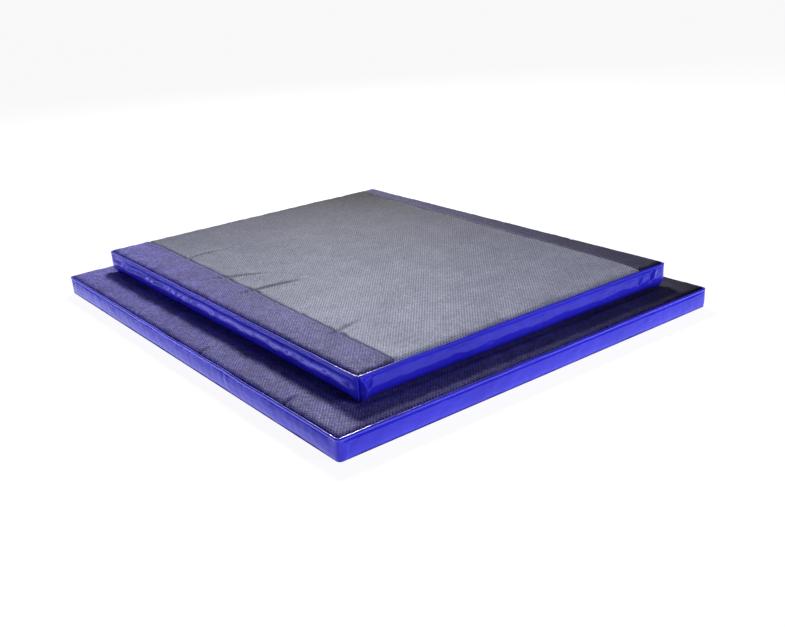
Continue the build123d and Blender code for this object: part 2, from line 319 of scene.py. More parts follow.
def thread(name, low, high):
    """Slightly hairy thread or cord, between a darker and a lighter colour."""
    s = Shader(name, Specular_IOR_Level=0.4, Sheen_Weight=0.3)
    colour = s.blend(s.span(s.noise(500, 2), 0.3, 0.7), low, high)
    roughness = s.span(s.noise(300), 0.3, 0.7, 0.45, 0.65)
    return s.finish(colour, roughness, s.relief(s.noise(2500, 1), 0.15 * MM, 0.8))


def zip_tape():
    """Dark woven tape with ribs along its length."""
    s = Shader("zip_tape_weave", Specular_IOR_Level=0.3, Sheen_Weight=0.2)
    rib = s.noise(900, 1, stretch=(1, 1, 0.12))
    colour = s.blend(s.span(rib, 0.35, 0.65), (0.010, 0.009, 0.05), (0.026, 0.022, 0.13))
    roughness = s.span(s.noise(400), 0.3, 0.7, 0.6, 0.8)
    return s.finish(colour, roughness, s.relief(rib, 0.2 * MM, 0.9))


def metal():
    """Plated zip metal, a little worn."""
    s = Shader("zip_metal_plated", Metallic=1.0)
    colour = s.blend(s.span(s.noise(450, 3), 0.35, 0.75), (0.36, 0.36, 0.40), (0.52, 0.52, 0.55))
    roughness = s.span(s.noise(700, 3), 0.3, 0.7, 0.22, 0.42)
    return s.finish(colour, roughness, s.relief(s.noise(900, 2), 0.05 * MM, 0.6))


def coil_plastic():
    """Dark, slightly shiny plastic of the zips' teeth."""
    s = Shader("zip_coil_plastic", Specular_IOR_Level=0.5)
    colour = s.blend(s.span(s.noise(600), 0.3, 0.7), (0.012, 0.011, 0.06), (0.022, 0.020, 0.10))
    roughness = s.span(s.noise(800), 0.3, 0.7, 0.25, 0.4)
    return s.finish(colour, roughness, s.relief(s.noise(1800), 0.05 * MM, 0.5))


VINYL = vinyl("blue_vinyl", 0.35)
PIPING_VINYL = vinyl("piping_vinyl", 1.0)
# Both meshes are painted brighter at the left and darker at the right, the pale one also darker at the back:
# painted light falloff and painted sheen.
PALE_MESH = mesh_fabric("pale_mesh", (0.190, 0.200, 0.285), (0.268, 0.283, 0.375), (0.062, 0.064, 0.100),
                        sheen=0.05, tint=(0.7, 0.7, 1.0), unevenness=0.20, painted_light_falloff=(-1.15, -1.15))
DARK_MESH = mesh_fabric("dark_mesh", (0.062, 0.055, 0.205), (0.115, 0.104, 0.35), (0.004, 0.003, 0.014),
                        sheen=0.10, tint=(0.55, 0.5, 1.0), unevenness=0.45, painted_light_falloff=(-1.65, 0.35))
FLOOR_VINYL = floor_vinyl()
SOFT_FOAM = foam("soft_foam", (0.55, 0.52, 0.42), (0.80, 0.77, 0.66), 700)
FIRM_FOAM = foam("firm_foam", (0.62, 0.65, 0.70), (0.80, 0.82, 0.85), 1500)
BLUE_THREAD = thread("blue_thread", (0.03, 0.025, 0.35), (0.06, 0.05, 0.55))
GREY_THREAD = thread("grey_thread", (0.10, 0.09, 0.16), (0.20, 0.18, 0.30))
ZIP_TAPE = zip_tape()
METAL = metal()
COIL = coil_plastic()
CORD = thread("welt_cord_plastic", (0.70, 0.70, 0.70), (0.85, 0.85, 0.85))


# ---- mesh helpers -------------------------------------------------------------------------------
def grid_faces(rows, columns, close_rows=False, close_columns=False):
    """Quads of a grid whose points run row by row."""
    row = np.arange(rows if close_rows else rows - 1)
    column = np.arange(columns if close_columns else columns - 1)
    r, c = (a.ravel() for a in np.meshgrid(row, column, indexing="ij"))
    r2, c2 = (r + 1) % rows, (c + 1) % columns
    return np.stack([r * columns + c, r * columns + c2, r2 * columns + c2, r2 * columns + c], 1)


def make_object(name, points, faces, material):
    """A smooth-shaded mesh object from an array of points and an array of quads."""
    data = bpy.data.meshes.new(name)
    data.from_pydata(np.asarray(points, float).reshape(-1, 3).tolist(), [], [list(face) for face in faces])
    data.materials.append(material)
    data.shade_smooth()
    piece = bpy.data.objects.new(name, data)
    bpy.context.scene.collection.objects.link(piece)
    return piece


def thicken(piece, thickness):
    """Gives a sheet its thickness, on the inner side."""
    shell = piece.modifiers.new("thickness", "SOLIDIFY")
    shell.thickness = thickness
    shell.offset = -1


def settle(piece, body, slot, *replaced):
    """Ties a finished piece to its body and hides the CAD nodes that it stands for; its slot is not used."""
    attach(piece, body)
    if replaced:
        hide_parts(*replaced)


def tube(name, path, across, up, radii, material, steps=8, closed=True):
    """A tube of elliptic section along a path; across and up are the section's axes at each point."""
    angle = np.linspace(0, 2 * math.pi, steps, endpoint=False)
    ring = (across[:, None] * np.cos(angle)[None, :, None] * radii[0]
            + up[:, None] * np.sin(angle)[None, :, None] * radii[1])
    points = path[:, None] + ring
    faces = grid_faces(len(path), steps, closed, True).tolist()
    if not closed:
        faces += [list(range(steps))[::-1], [(len(path) - 1) * steps + k for k in range(steps)]]
    inside_out = np.dot(np.cross(across[0], up[0]), path[1] - path[0]) < 0
    if inside_out:
        faces = [face[::-1] for face in faces]
    return make_object(name, points, faces, material)


# ---- a mat's measures and outline -----------------------------------------------------------------
SIDES = ("front", "right", "rear", "left")


class Mat:
    """One mat, measured from the frame."""

    def __init__(self, name, seed):
        self.name = name
        self.body = f"{name}_mat"
        self.seed = seed
        low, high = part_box(f"{name}_welt_cover")
        self.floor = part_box(f"{name}_floor_sheet")[0].z
        self.top = high.z
        self.height = self.top - self.floor
        self.wall_top = self.height - WALL_TUCK
        self.centre = np.array([(low.x + high.x) / 2, (low.y + high.y) / 2])
        self.half = np.array([(high.x - low.x) / 2, (high.y - low.y) / 2])
        low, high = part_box(f"{name}_zip_slider")
        self.zip_z = (low.z + high.z) / 2
        self.bulge = {}  # how far each part of the cover bulges, filled in by the cloth simulation

    def straight(self, side):
        """Half the straight part of a side."""
        return self.half[SIDES.index(side) % 2] - CORNER_RADIUS

    def seam(self, side):
        """Distance along a side from its middle to its corner seams, halfway round the corner arcs."""
        return self.straight(side) + CORNER_RADIUS * math.pi / 4

    def side_stations(self, side, step):
        """Distances along a side from its middle, corner seam to corner seam, closer at its ends."""
        end = self.seam(side)
        fine_reach, near_reach = 16, 60  # millimetres from the seam
        near = np.concatenate([np.arange(0, fine_reach, 1.1), np.arange(fine_reach, near_reach, 2)]) * MM
        middle = np.linspace(-end + near_reach * MM, end - near_reach * MM, int(2 * end / step))
        return np.concatenate([-end + near, middle, (end - near)[::-1]])

    def side_frame(self, side, s):
        """Point on the outline and outward normal for distances along a side."""
        turn = SIDES.index(side)
        along, out = self.straight(side), self.half[(turn + 1) % 2]
        angle = np.clip(np.abs(s) - along, 0, None) / CORNER_RADIUS * np.sign(s)
        nearest = np.clip(s, -along, along)
        x = nearest + CORNER_RADIUS * np.sin(angle)
        y = -(out - CORNER_RADIUS) - CORNER_RADIUS * np.cos(angle)
        place, normal = np.stack([x, y], -1), np.stack([np.sin(angle), -np.cos(angle)], -1)
        c, s_ = ((1, 0), (0, 1), (-1, 0), (0, -1))[turn]
        spin = np.array([[c, -s_], [s_, c]])
        return place @ spin.T + self.centre, normal @ spin.T

    def lay(self, side, s, inset, z):
        """3-D points of a side: distances along it, insets from the outline, heights above the underside."""
        place, normal = self.side_frame(side, s)
        flat = place - normal * np.asarray(inset)[..., None]
        return np.concatenate([flat, (self.floor + z)[..., None]], -1)

    def loop(self, step):
        """The whole outline as one closed run: points, outward normals and distance."""
        places, normals = [], []
        for side in SIDES:
            s = self.side_stations(side, step)[:-1]
            p, n = self.side_frame(side, s)
            places.append(p)
            normals.append(n)
        places, normals = np.concatenate(places), np.concatenate(normals)
        steps = np.linalg.norm(np.roll(places, -1, 0) - places, axis=1)
        return places, normals, np.concatenate([[0], np.cumsum(steps)[:-1]])


# ---- cloth simulation -----------------------------------------------------------------------------
def cloth_object(name, points, slack, pressure):
    """A grid of cloth held along its four edges, with air pressure behind it."""
    rows, columns = points.shape[:2]
    piece = make_object(name, points, grid_faces(rows, columns), VINYL)
    number = np.arange(rows * columns).reshape(rows, columns)
    edges = np.concatenate([number[0], number[-1], number[:, 0], number[:, -1]])
    held = piece.vertex_groups.new(name="held")
    held.add([int(k) for k in np.unique(edges)], 1.0, "REPLACE")
    cloth = piece.modifiers.new("cloth", "CLOTH")
    cloth.settings.quality = 4
    cloth.settings.mass = 0.002
    cloth.settings.air_damping = 2
    cloth.settings.tension_stiffness = 8
    cloth.settings.compression_stiffness = 8
    cloth.settings.bending_stiffness = 0.6
    cloth.settings.use_pressure = True
    cloth.settings.uniform_pressure_force = pressure
    cloth.settings.shrink_min = -slack
    cloth.settings.effector_weights.gravity = 0
    cloth.settings.vertex_group_mass = "held"
    cloth.point_cache.frame_end = SIM_FRAMES
    return piece


def cover_grids(mat):
    """The cloth's starting places: the four walls and the landing face, just out of flat."""
    for side in SIDES:
        end = mat.seam(side)
        s = np.linspace(-end, end, int(2 * end / WALL_STEP))
        z = np.linspace(0, mat.wall_top, int(mat.height / WALL_STEP) + 1)
        ss, zz = np.meshgrid(s, z, indexing="xy")
        ripple = 0.3 * MM * smooth_noise(mat.seed * 10 + SIDES.index(side), ss * 25, zz * 25)
        yield side, mat.lay(side, ss, WALL_INSET + ripple, zz), WALL_SLACK, WALL_PRESSURE, WALL_CAP
    reach = mat.half - FACE_INSET
    x, y = (np.linspace(-r, r, int(2 * r / FACE_STEP)) for r in reach)
    yy, xx = np.meshgrid(y, x, indexing="ij")
    zz = mat.top + 0.3 * MM * smooth_noise(mat.seed + 40, xx * 12, yy * 12)
    points = np.stack([xx + mat.centre[0], yy + mat.centre[1], zz], -1)
    yield "face", points, FACE_SLACK, FACE_PRESSURE, FACE_CAP


def simulate(mats):
    """Inflates both covers in Blender's cloth solver and keeps how far each point bulges outwards."""
    running = []
    for mat in mats:
        for part, points, slack, pressure, cap in cover_grids(mat):
            piece = cloth_object(f"{mat.name}_{part}_cloth", points, slack, pressure)
            running.append((mat, part, points, cap, piece))
    scene = bpy.context.scene
    for number in range(1, SIM_FRAMES + 1):
        scene.frame_set(number)
    graph = bpy.context.evaluated_depsgraph_get()
    for mat, part, points, cap, piece in running:
        settled = piece.evaluated_get(graph).data
        places = np.empty(len(settled.vertices) * 3)
        settled.vertices.foreach_get("co", places)
        moved = places.reshape(points.shape) - points
        if part == "face":
            bulge = moved[..., 2]
        else:
            end = mat.seam(part)
            _, normal = mat.side_frame(part, np.linspace(-end, end, points.shape[1]))
            bulge = np.einsum("rck,ck->rc", moved[..., :2], normal)
        mat.bulge[part] = np.clip(bulge, -cap, cap)
        data = piece.data
        bpy.data.objects.remove(piece)
        bpy.data.meshes.remove(data)
    scene.frame_set(1)


# ---- walls ----------------------------------------------------------------------------------------
CORNER_DEPTHS = {  # how deep each corner is gathered, from the front left corner, anticlockwise from above
    "base": (1.4 * MM, 0.8 * MM, 1.3 * MM, 1.0 * MM),
    "top": (8.0 * MM, 1.6 * MM, 1.8 * MM, 0.8 * MM),
}
PUCKER_ECHO = 0.2  # a corner's gathers on the other side of its seam, as a share
WALL_FOLDS = {  # the walls' larger folds: which wall, place along it, lean and depth
    "base": (
        ("left", 0.21, 0.4, 1.0 * MM),
    ),
    "top": (
        ("front", 0.385, -0.6, 3.2 * MM),
        ("front", 0.350, -0.9, 1.6 * MM),
        ("left", -0.12, 0.7, 1.4 * MM),
    ),
}
SMALL_FOLD_GAP = 0.20  # one small upright fold for every so many metres of wall


def wall_swell(mat, side, s, t):
    """How far a wall stands out from its flat place; t is 0 at its top and 1 at the mat's underside."""
    number = SIDES.index(side)
    seed = mat.seed * 10 + number
    end = mat.seam(side)
    below = t * mat.wall_top
    start, stop = LEDGE[mat.name]
    wander = (1.5 * smooth_noise(seed, s * 7) + 0.4 * smooth_noise(seed + 1, s * 26)) * MM
    lack = LEDGE_SHARE[side] * LEDGE_DEPTH[mat.name] * (1 - ease(below + wander, start, stop))
    swell = WALL_SWELL * (1 - lack) - LEDGE_SINK * lack * ease(below, 1 * MM, start)
    swell -= WALL_RAKE * ease(t, 0.4, 1.0)
    swell -= WALL_GROOVE * bump(below - GROOVE_BELOW, GROOVE_HALF)
    swell += 0.4 * MM * smooth_noise(seed + 2, s * 14) * bump(below + wander - stop, 4 * MM)
    swell += 0.30 * MM * smooth_noise(seed + 3, s * 9, t * 0.9)
    if mat.bulge:
        field = mat.bulge[side]
        rows = (1 - t) * (field.shape[0] - 1)
        columns = (s + end) / (2 * end) * (field.shape[1] - 1)
        swell += WALL_SHARE * sample(field, rows, columns)
    swell -= small_folds(seed + 5, end, s, t)
    swell += large_folds(mat, side, s, t)
    flush = bump(end - np.abs(s), FLUSH_REACH)
    swell = swell * (1 - flush) + (WALL_INSET - FLUSH_GAP) * flush
    depths = CORNER_DEPTHS[mat.name]
    swell += corner_pucker(depths[number], s + end, t)
    swell += PUCKER_ECHO * corner_pucker(depths[(number + 1) % 4], end - s, t)
    return swell


def small_folds(seed, end, s, t):
    """Depth of the faint upright folds that are scattered along a wall."""
    rng = np.random.default_rng(seed)
    total = np.zeros_like(t)
    for _ in range(int(end * 2 / SMALL_FOLD_GAP)):
        place, lean = rng.uniform(-end, end), rng.uniform(-0.03, 0.03)
        depth, reach = rng.uniform(0.3, 0.9) * MM, rng.uniform(0.15, 0.5)
        total += depth * bump(s - place - lean * t, rng.uniform(3, 6) * MM) * bump(t, reach)
    return total


def large_folds(mat, side, s, t):
    """A wall's few larger folds: each a slanting valley with a soft ridge beside it."""
    below = t * mat.wall_top
    total = np.zeros_like(t)
    for fold_side, place, lean, depth in WALL_FOLDS[mat.name]:
        if fold_side == side:
            across = s - place - lean * below
            total -= depth * bump(across, 3 * MM) * bump(t - 0.28, 0.20)
            total += 0.8 * depth * bump(across - 9 * MM, 5 * MM) * bump(t - 0.35, 0.30)
    return total


def corner_pucker(depth, distance, t):
    """The gathered corner: a wedge that is widest halfway down, a ridge beside it and a slanting fold."""
    middle = np.sin(math.pi * np.clip(t, 0, 1)) ** 0.7
    half = (1.2 + 3.6 * middle) * MM
    wedge = -depth * bump(distance - half, half) * middle
    ridge = 0.55 * depth * bump(distance - 2 * half - 6 * MM, 4.5 * MM) * ease(t, 0.02, 0.25)
    fold_at = (8 + 26 * (1 - t)) * MM
    fold = -0.5 * depth * bump(distance - fold_at, 3 * MM) * bump(t - 0.35, 0.28)
    return wedge + ridge + fold


def wall_inset(mat, side, s, t):
    """Inset of a wall from the outline: its flat place less its swell, with its foot rolled under."""
    corner_relief = 1 - 0.35 * bump(mat.seam(side) - np.abs(s), 35 * MM)
    under = UNDERCUT[mat.name] * corner_relief * ease(t, 0.62, 1.06) ** 1.5
    return WALL_INSET + under - wall_swell(mat, side, s, t)


def wall_sheet(mat, side, label, low, high, replaced, rows):
    """One vinyl sheet of a wall between two heights above the mat's underside."""
    s = mat.side_stations(side, 4 * MM)
    z = np.linspace(high, low, rows)
    ss, zz = np.meshgrid(s, z, indexing="xy")
    t = (mat.wall_top - zz) / mat.wall_top
    points = mat.lay(side, ss, wall_inset(mat, side, ss, t), zz)
    piece = make_object(f"{mat.name}_{label}_vinyl", points, grid_faces(len(z), len(s))[:, ::-1], VINYL)
    thicken(piece, VINYL_THICKNESS)
    settle(piece, mat.body, "blue_vinyl", f"{mat.name}_{replaced}")


def build_walls(mat):
    """Three whole walls, and the rear wall in two strips with the zip between them."""
    for side in ("front", "left", "right"):
        wall_sheet(mat, side, f"side_{side}", WALL_FOOT, mat.wall_top, f"side_{side}", rows=46)
    middle = mat.zip_z - mat.floor
    wall_sheet(mat, "rear", "rear_upper", middle + ZIP_WINDOW, mat.wall_top, "rear_strip_upper", rows=18)
    wall_sheet(mat, "rear", "rear_lower", WALL_FOOT, middle - ZIP_WINDOW, "rear_strip_lower", rows=16)


def corner_seams(mat):
    """A row of stitches down each corner, where two walls are sewn together."""
    pitch, radius, rise = 3.5 * MM, 0.35 * MM, 0.3 * MM
    for side in SIDES:
        z = np.linspace(mat.wall_top - 1.5 * MM, 5 * MM, 40)
        s = np.full_like(z, mat.seam(side))
        t = (mat.wall_top - z) / mat.wall_top
        inset = wall_inset(mat, side, s, t) - 0.1 * MM
        path = mat.lay(side, s, inset, z)
        beat = rise * np.sin(z * 2 * math.pi / pitch)
        _, normal = mat.side_frame(side, s)
        out = np.concatenate([normal, np.zeros((len(z), 1))], 1)
        path = path + out * beat[:, None]
        up = np.tile([0.0, 0.0, 1.0], (len(z), 1))
        across = np.cross(up, out)
        seam = tube(f"{mat.name}_corner_seam_{side}", path, across, out, (radius, radius), BLUE_THREAD,
                    steps=6, closed=False)
        settle(seam, mat.body, "blue_vinyl")


# ---- piping ---------------------------------------------------------------------------------------
def welt_wave(mat, distance):
    """The piping's small wander: sideways and up."""
    side = 0.55 * MM * smooth_noise(mat.seed + 70, distance * 4.0)
    rise = 0.40 * MM * smooth_noise(mat.seed + 71, distance * 5.0)
    return side, rise


def build_welt(mat):
    """The vinyl strip rolled round its cord, gathered a little along its length."""
    place, normal, distance = mat.loop(4 * MM)
    side, rise = welt_wave(mat, distance)
    gather = 0.14 * MM * smooth_noise(mat.seed + 72, distance * 60)
    out = np.concatenate([normal, np.zeros((len(place), 1))], 1)
    up = np.tile([0.0, 0.0, 1.0], (len(place), 1))
    z = mat.top - WELT_HALF_HEIGHT - WELT_DROP + rise
    path = np.concatenate([place - normal * (WELT_INSET + side)[:, None], z[:, None]], 1)
    width = (1 + gather / WELT_HALF_WIDTH)[:, None]
    roll = tube(f"{mat.name}_welt_roll", path, out * width, up * width, (WELT_HALF_WIDTH, WELT_HALF_HEIGHT),
                PIPING_VINYL, steps=14)
    settle(roll, mat.body, "blue_vinyl", f"{mat.name}_welt_cover")
    radii = (WELT_CORD_RADIUS, WELT_CORD_RADIUS)
    cord = tube(f"{mat.name}_welt_cord_core", path, out, up, radii, CORD)
    settle(cord, mat.body, "welt_cord", f"{mat.name}_welt_cord")


# ---- landing faces --------------------------------------------------------------------------------
CREASES = (  # from the left seam into the pale panel: place along Y, length, slant, depth in mm
    (0.314, 0.150, 0.08, 4.2),
    (0.110, 0.120, -0.47, 4.0),
    (-0.014, 0.175, -0.09, 4.9),
    (-0.343, 0.080, 0.20, 4.2),
    (0.430, 0.060, 0.10, 1.5),
    (-0.200, 0.050, 0.15, 1.5),
)
EDGE_PUCKERS = (  # from the base mat's left piping inwards: place along Y, length, depth in mm
    (-0.115, 0.060, 3.0),
    (-0.432, 0.050, 3.0),
    (0.210, 0.045, 1.5),
    (-0.290, 0.030, 1.3),
    (0.420, 0.034, 1.2),
)
CREASE_HALF = 5.5 * MM  # a crease's half width where it leaves the seam
CLEAR_FOLD = 2  # creases and puckers deeper than this, in mm, get a finer grid
SEAM_SINK = 1.2 * MM  # depth of the seams between the top mat's three sheets
SEAM_HALF = 2.4 * MM  # and their half width
EDGE_BAND = 9 * MM  # beside its edges a sheet's grid is finer
FINE_ALONG = 2.2 * MM  # the finer step along Y
FINE_ACROSS = 1.5 * MM  # and along X
PRESSED_GAP = 1.4 * MM  # under the upper mat, the base mat's mesh lies this far below the mat's top
PRESSED_REACH = 16 * MM  # from the upper mat's outline to where that mesh is up again


def seam_x(mat, which, y):
    """X of a strip's seam on the top mat, with the small wander of hand-guided sewing."""
    wander = 1.8 * MM * smooth_noise(mat.seed + (80 if which == "left" else 81), y * 3.5)
    front, rear = LEFT_STRIP if which == "left" else RIGHT_STRIP
    width = front + (rear - front) * ((y - mat.centre[1]) / (2 * mat.half[1]) + 0.5)
    from_middle = mat.half[0] - width
    return mat.centre[0] + (-from_middle if which == "left" else from_middle) + wander


def pressed_share(mat, x, y):
    """1 where the upper mat lies on a landing face, 0 well away from it."""
    if mat is TOP:
        return np.zeros_like(x)
    beyond = np.maximum(np.abs(x - TOP.centre[0]) - TOP.half[0], np.abs(y - TOP.centre[1]) - TOP.half[1])
    return 1 - ease(beyond, 0.0, PRESSED_REACH)


def face_height(mat, x, y):
    """Height of a landing face above the mat's nominal top."""
    dx, dy = x - mat.centre[0], y - mat.centre[1]
    from_edge = np.minimum(mat.half[0] - np.abs(dx), mat.half[1] - np.abs(dy)) - FACE_INSET
    inner = ease(from_edge, 0.0, 0.09)
    z = inner * CROWN * (1 - (dx / mat.half[0]) ** 2) * (1 - (dy / mat.half[1]) ** 2)
    z = z + inner * 0.8 * MM * smooth_noise(mat.seed + 60, x * 3.0, y * 3.0)
    z = z + 0.25 * MM * smooth_noise(mat.seed + 61, x * 14, y * 14) * ease(from_edge, 0, 0.02)
    if mat.bulge:
        field = mat.bulge["face"]
        reach = mat.half - FACE_INSET
        rows = (dy / reach[1] + 1) / 2 * (field.shape[0] - 1)
        columns = (dx / reach[0] + 1) / 2 * (field.shape[1] - 1)
        z = z + FACE_SHARE * sample(field, rows, columns)
    pressed = pressed_share(mat, x, y)
    z = z * (1 - pressed) - PRESSED_GAP * pressed
    rise = 1 - np.exp(-np.clip(from_edge, 0, None) / FACE_ROLL)
    z = z + (FACE_DIP + FACE_SHOULDER * (1 - pressed)) * rise - FACE_DIP
    gather = 0.5 * MM * smooth_noise(mat.seed + 62, (x + y) * 22)
    gather = gather + 0.3 * MM * smooth_noise(mat.seed + 63, (x - y) * 45)
    return z + gather * bump(from_edge - 9 * MM, 8 * MM)


def seam_relief(mat, x, y):
    """The sunken seams between the top mat's three sheets, and the creases that run out of the left one."""
    z = np.zeros_like(x)
    for which in ("left", "right"):
        off = x - seam_x(mat, which, y)
        z -= SEAM_SINK * bump(off, SEAM_HALF)
        z += 0.5 * MM * bump(np.abs(off) - 8 * MM, 6 * MM)
    off = x - seam_x(mat, "left", y)
    for place, length, slant, depth in CREASES:
        for sign, reach, share in ((1, length, 1.0), (-1, length * 0.4, 0.6)):
            along = np.clip(off * sign, 0, None)
            across = y - place - slant * off - 3 * MM * np.sin(along * 45)
            fade = ease(off * sign, -3 * MM, 5 * MM) * (1 - ease(along, reach * 0.35, reach))
            width = CREASE_HALF + along * 0.02
            z -= share * depth * MM * bump(across, width) * fade
            z += share * 0.50 * depth * MM * bump(across + 17 * MM, 11 * MM) * fade
            z += share * 0.35 * depth * MM * bump(across - 18 * MM, 12 * MM) * fade
    return z


def edge_relief(mat, x, y):
    """Puckers that run from the base mat's left piping into its margin."""
    z = np.zeros_like(x)
    along = x - (mat.centre[0] - mat.half[0]) - FACE_INSET
    for place, length, depth in EDGE_PUCKERS:
        across = y - place - 0.35 * along
        fade = 1 - ease(along, length * 0.3, length)
        z -= depth * MM * bump(across, 4.5 * MM) * fade
        z += 0.9 * depth * MM * bump(across - 13 * MM, 8 * MM) * fade
        z += 0.5 * depth * MM * bump(across + 13 * MM, 8 * MM) * fade
    return z


def round_corners(mat, x, y):
    """Pulls the points near the outline's corners onto its arcs."""
    radius = CORNER_RADIUS - FACE_INSET
    dx, dy = x - mat.centre[0], y - mat.centre[1]
    reach = mat.half - CORNER_RADIUS
    cx, cy = np.clip(np.abs(dx) - reach[0], 0, radius), np.clip(np.abs(dy) - reach[1], 0, radius)
    length = np.maximum(np.hypot(cx, cy), 1e-9)
    scale = np.maximum(cx, cy) / length
    inside = (cx > 0) & (cy > 0)
    x = np.where(inside, mat.centre[0] + np.sign(dx) * (reach[0] + cx * scale), x)
    y = np.where(inside, mat.centre[1] + np.sign(dy) * (reach[1] + cy * scale), y)
    return x, y


def face_panel(mat, label, low_edge, high_edge, step, material, slot, replaced, relief, folds):
    """One sheet of a landing face between two lines that run along Y, each a function of y.

    The grid closes up beside the sheet's edges and along the folds, which are bands of Y.
    """
    reach = mat.half[1] - FACE_INSET
    start, stop = mat.centre[1] - reach, mat.centre[1] + reach
    ends = ((start, start + EDGE_BAND), (stop - EDGE_BAND, stop))
    y = stations(start, stop, step, FINE_ALONG, (*ends, *folds))
    low, high = low_edge(y), high_edge(y)
    width = float(np.mean(high - low))
    sides = ((0, EDGE_BAND), (width - EDGE_BAND, width))
    across = stations(0.0, width, step, FINE_ACROSS, sides) / width
    yy, uu = np.meshgrid(y, across, indexing="ij")
    xx = low[:, None] + (high - low)[:, None] * uu
    xx, yy = round_corners(mat, xx, yy)
    z = mat.top + face_height(mat, xx, yy) + relief(mat, xx, yy)
    points = np.stack([xx, yy, z], -1)
    piece = make_object(f"{mat.name}_{label}_sheet", points, grid_faces(*xx.shape), material)
    thicken(piece, MESH_THICKNESS)
    settle(piece, mat.body, slot, replaced)


def stitch_row(mat, which, offset):
    """A row of stitches along a strip's seam, each dipping into the cloth at both ends."""
    reach = mat.half[1] - 12 * MM
    pitch, radius = 4.2 * MM, 0.32 * MM
    y = np.arange(mat.centre[1] - reach, mat.centre[1] + reach, pitch)
    profile = np.array([-1.0, -0.6, 0.0, 0.6, 1.0])
    sink = np.array([0.5, 0.05, -0.12, 0.05, 0.5]) * MM
    steps = 5
    angle = np.linspace(0, 2 * math.pi, steps, endpoint=False)
    points, faces = [], []
    for index, at in enumerate(y):
        yy = at + profile * pitch * 0.40
        xx = seam_x(mat, which, yy) + offset
        zz = mat.top + face_height(mat, xx, yy) + seam_relief(mat, xx, yy) - sink + 0.15 * MM
        ring_x = xx[:, None] + radius * np.cos(angle)
        ring_z = zz[:, None] + radius * np.sin(angle)
        ring_y = np.repeat(yy[:, None], steps, 1)
        points.append(np.stack([ring_x, ring_y, ring_z], -1).reshape(-1, 3))
        faces.append(grid_faces(len(profile), steps, False, True)[:, ::-1] + index * len(profile) * steps)
    name = f"{mat.name}_seam_stitches_{which}"
    piece = make_object(name, np.concatenate(points), np.concatenate(faces), GREY_THREAD)
    settle(piece, mat.body, "dark_mesh")


def edge_line(mat, sign):
    """X of a landing face's left (-1) or right (1) edge, as a function of y."""
    return lambda y: np.full_like(y, mat.centre[0] + sign * (mat.half[0] - FACE_INSET))


def build_base_face(mat):
    """One dark sheet."""
    folds = [(place - 8 * MM, place + 22 * MM) for place, _, depth in EDGE_PUCKERS if depth > CLEAR_FOLD]
    face_panel(mat, "mesh_face", edge_line(mat, -1), edge_line(mat, 1), 7.5 * MM, DARK_MESH, "dark_mesh",
               "base_mesh_face", edge_relief, folds)


def build_top_face(mat):
    """Two dark strips with the pale panel between them."""
    lines = (
        edge_line(mat, -1),
        lambda y: seam_x(mat, "left", y),
        lambda y: seam_x(mat, "right", y),
        edge_line(mat, 1),
    )
    folds = []
    for place, length, slant, depth in CREASES:
        ends = sorted((place, place + slant * length * 0.8))
        if depth > CLEAR_FOLD:
            folds.append((ends[0] - 12 * MM, ends[1] + 12 * MM))
    sheets = (
        ("mesh_strip_left", DARK_MESH, "dark_mesh", 4.5 * MM, folds),
        ("mesh_centre_panel", PALE_MESH, "pale_mesh", 5.8 * MM, folds),
        ("mesh_strip_right", DARK_MESH, "dark_mesh", 4.5 * MM, []),
    )
    for (label, material, slot, step, bands), low, high in zip(sheets, lines, lines[1:]):
        face_panel(mat, label, low, high, step, material, slot, f"{mat.name}_{label}", seam_relief, bands)
    stitch_row(mat, "left", -3.2 * MM)
    stitch_row(mat, "right", 3.2 * MM)


# ---- floor sheet and foam -------------------------------------------------------------------------
def rounded_slab(mat, name, inset, low, high, edge, foot, material):
    """A closed slab that follows the outline; its upper edge draws in by edge and its lower one by foot."""
    place, normal, _ = mat.loop(12 * MM)
    sag = min(edge, (high - low) / 2)
    rise = min(foot, (high - low) / 2)
    profile = [(inset + foot, low), (inset + foot * 0.3, low + rise * 0.4), (inset, low + rise),
               (inset, high - sag), (inset + edge * 0.3, high - sag * 0.3), (inset + edge, high)]
    edges = []
    for step_in, z in profile:
        edges.append(np.concatenate([place - normal * step_in, np.full((len(place), 1), mat.floor + z)], 1))

    def drawn_in(ring, share):
        flat = mat.centre + (ring[:, :2] - mat.centre) * share
        return np.concatenate([flat, ring[:, 2:]], 1)

    bottom = [drawn_in(edges[0], share) for share in (0.0, 0.5)]
    top = [drawn_in(edges[-1], share) for share in (0.9, 0.6, 0.3, 0.0)]
    points = np.stack(bottom + edges + top)
    return make_object(name, points, grid_faces(len(points), len(place), False, True), material)


def build_inside(mat):
    """The soft foam slab and the firm layer on it."""
    soft_low, soft_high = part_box(f"{mat.name}_soft_foam_slab")
    firm_low, firm_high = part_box(f"{mat.name}_firm_foam_layer")
    up = mat.floor
    foot = UNDERCUT[mat.name] + 5 * MM
    soft = rounded_slab(mat, f"{mat.name}_soft_foam_core", FOAM_INSET, soft_low.z - up + 0.4 * MM,
                        soft_high.z - up - 0.1 * MM, 3 * MM, foot, SOFT_FOAM)
    settle(soft, mat.body, "soft_foam", f"{mat.name}_soft_foam_slab")
    firm = rounded_slab(mat, f"{mat.name}_firm_foam_sheet", FOAM_INSET, firm_low.z - up + 0.1 * MM,
                        firm_high.z - up - 3 * MM, 2 * MM, 1 * MM, FIRM_FOAM)
    settle(firm, mat.body, "firm_foam", f"{mat.name}_firm_foam_layer")


def build_floor_sheet(mat):
    """The cover's underside, which ends just outside the walls' rolled feet."""
    inset = UNDERCUT[mat.name] - 0.5 * MM
    low, high, roll = 0.05 * MM, 0.9 * MM, 0.8 * MM
    sheet = rounded_slab(mat, f"{mat.name}_floor_sheet_vinyl", inset, low, high, roll, roll, FLOOR_VINYL)
    settle(sheet, mat.body, "floor_vinyl", f"{mat.name}_floor_sheet")


